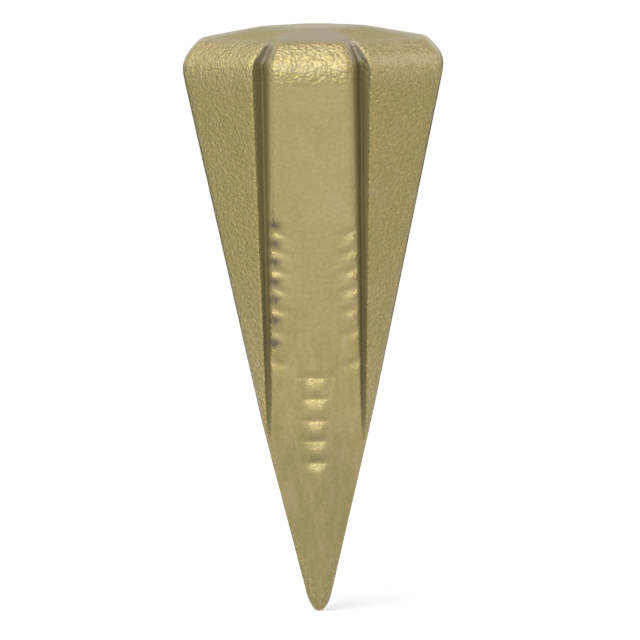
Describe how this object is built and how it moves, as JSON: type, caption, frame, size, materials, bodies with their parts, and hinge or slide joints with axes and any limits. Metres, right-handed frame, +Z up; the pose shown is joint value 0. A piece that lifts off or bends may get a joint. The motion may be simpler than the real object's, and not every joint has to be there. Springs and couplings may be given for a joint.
{
  "type": "wood splitting wedge",
  "caption": "Solid forged steel splitting wedge: crowned striking head, flared wings, raised lands with notched edges, and a long nose with a notched middle rib that ends in a blunt point.",
  "frame": {"origin": "tip of the blunt point, on the wedge's long axis", "axes": "+Z up the long axis from the point to the striking face, -Y out of the front notched land, +X to the right of it"},
  "size_m": [0.073, 0.073, 0.165],
  "materials": {
    "gold_paint": "satin metallic gold paint over grainy forged steel"
  },
  "bodies": {
    "root": {"forged_wedge": "gold_paint"}
  },
  "joints": []
}
